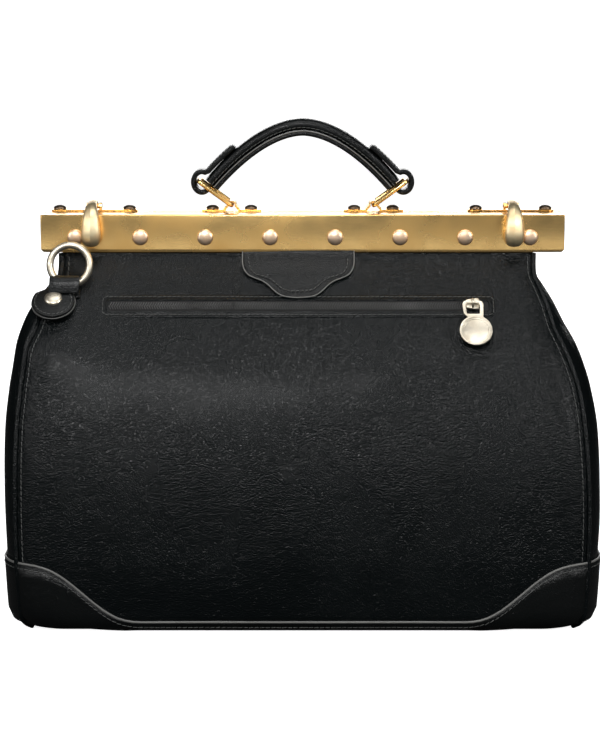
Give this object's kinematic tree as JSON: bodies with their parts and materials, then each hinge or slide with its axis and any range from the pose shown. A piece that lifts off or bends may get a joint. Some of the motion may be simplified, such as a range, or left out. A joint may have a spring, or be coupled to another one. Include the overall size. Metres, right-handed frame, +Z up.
{
  "type": "doctor bag",
  "caption": "Leather doctor bag with a hinged brass frame, swing claws, arched handle on rings, outside zip pocket and strap rings.",
  "frame": {"origin": "centre of the base on the surface the bag stands on", "axes": "+X along the bag, to the right seen from the zip side; +Y from the zip side to the plain side; +Z up"},
  "size_m": [0.393, 0.1892, 0.3267],
  "materials": {
    "leather": "glossy pebbled black leather",
    "lining_fabric": "woven lining",
    "base_board": "fibre board",
    "zip_tape": "black woven tape with coil teeth",
    "frame_brass": "satin brass",
    "rivet_brass": "rose antique brass",
    "dark_bronze": "dark antique bronze",
    "pale_nickel": "pale champagne nickel",
    "steel": "zinc plated steel"
  },
  "bodies": {
    "body": {"base_board": "base_board", "base_panel": "leather", "front_panel_lower": "leather", "back_panel_lower": "leather", "gusset_left_lower": "leather", "gusset_right_lower": "leather", "pocket_pouch": "lining_fabric", "lining": "lining_fabric"},
    "front_half": {"front_frame": "frame_brass", "front_rivet_strip": "rivet_brass", "front_leg_left": "steel", "front_leg_right": "steel", "front_panel_upper": "leather", "front_gusset_left": "leather", "front_gusset_right": "leather", "front_tongue": "leather", "zip_tape": "zip_tape", "strap_tab_front": "leather", "strap_tab_rivet_front": "pale_nickel", "claw_bracket_left": "frame_brass", "claw_bracket_right": "frame_brass", "claw_pin_left": "steel", "claw_pin_right": "steel"},
    "back_half": {"back_frame": "frame_brass", "back_rivet_strip": "rivet_brass", "back_leg_left": "steel", "back_leg_right": "steel", "back_panel_upper": "leather", "back_gusset_left": "leather", "back_gusset_right": "leather", "pivot_pin_left": "steel", "pivot_pin_right": "steel", "keeper_left": "frame_brass", "keeper_right": "frame_brass", "saddle_left": "frame_brass", "saddle_right": "frame_brass", "strap_tab_back": "leather", "strap_tab_rivet_back": "pale_nickel", "keeper_rivet_left_inner": "dark_bronze", "keeper_rivet_left_outer": "dark_bronze", "keeper_rivet_right_inner": "dark_bronze", "keeper_rivet_right_outer": "dark_bronze", "saddle_rivet_left_inner": "dark_bronze", "saddle_rivet_left_outer": "dark_bronze", "saddle_rivet_right_inner": "dark_bronze", "saddle_rivet_right_outer": "dark_bronze"},
    "claw_left": {"claw_left": "rivet_brass"},
    "claw_right": {"claw_right": "rivet_brass"},
    "zip_slider": {"zip_slider": "pale_nickel"},
    "zip_tag": {"zip_tag": "pale_nickel"},
    "strap_ring_front": {"strap_ring_front": "pale_nickel"},
    "strap_ring_back": {"strap_ring_back": "pale_nickel"},
    "handle": {"handle_grip": "leather", "handle_chape_left": "leather", "handle_chape_right": "leather"},
    "handle_ring_left": {"handle_ring_left": "frame_brass"},
    "handle_ring_right": {"handle_ring_right": "frame_brass"}
  },
  "joints": [
    {"name": "front_open", "type": "hinge", "parent": "body", "child": "front_half", "pos_m": [0, 0, 0.178], "axis": [1, 0, 0], "range_deg": [0, 40]},
    {"name": "back_open", "type": "hinge", "parent": "body", "child": "back_half", "pos_m": [0, 0, 0.178], "axis": [1, 0, 0], "range_deg": [-40, 0]},
    {"name": "claw_left_swing", "type": "hinge", "parent": "front_half", "child": "claw_left", "pos_m": [-0.141, -0.0217, 0.2482], "axis": [1, 0, 0], "range_deg": [0, 68]},
    {"name": "claw_right_swing", "type": "hinge", "parent": "front_half", "child": "claw_right", "pos_m": [0.141, -0.0217, 0.2482], "axis": [1, 0, 0], "range_deg": [0, 68]},
    {"name": "zip_slide", "type": "slide", "parent": "front_half", "child": "zip_slider", "axis": [1, 0, 0], "range_m": [-0.235, 0]},
    {"name": "zip_tag_swing", "type": "hinge", "parent": "zip_slider", "child": "zip_tag", "pos_m": [0.112, -0.04511, 0.21038], "axis": [-1, 0, 0], "range_deg": [0, 150]},
    {"name": "strap_ring_front_swing", "type": "hinge", "parent": "front_half", "child": "strap_ring_front", "pos_m": [-0.154, -0.03719, 0.22098], "axis": [1, 0, 0], "range_deg": [0, 106]},
    {"name": "strap_ring_back_swing", "type": "hinge", "parent": "back_half", "child": "strap_ring_back", "pos_m": [0.13, 0.03719, 0.22098], "axis": [-1, 0, 0], "range_deg": [0, 106]},
    {"name": "handle_ring_left_swing", "type": "hinge", "parent": "back_half", "child": "handle_ring_left", "pos_m": [-0.048, 0.009, 0.2695], "axis": [0, 1, 0], "range_deg": [-11, 11]},
    {"name": "handle_pivot", "type": "hinge", "parent": "handle_ring_left", "child": "handle", "pos_m": [-0.07, 0.009, 0.2856], "axis": [0, 1, 0], "range_deg": [-7.6, 7.6]},
    {"name": "handle_ring_right_swing", "type": "hinge", "parent": "back_half", "child": "handle_ring_right", "pos_m": [0.048, 0.009, 0.2695], "axis": [0, 1, 0], "range_deg": [-11, 11]}
  ],
  "couplings": [
    {"joint": "back_open", "follows": "front_open", "ratio": -1},
    {"joint": "handle_pivot", "follows": "handle_ring_left_swing", "ratio": -0.686},
    {"joint": "handle_ring_right_swing", "follows": "handle_ring_left_swing", "ratio": 1}
  ]
}
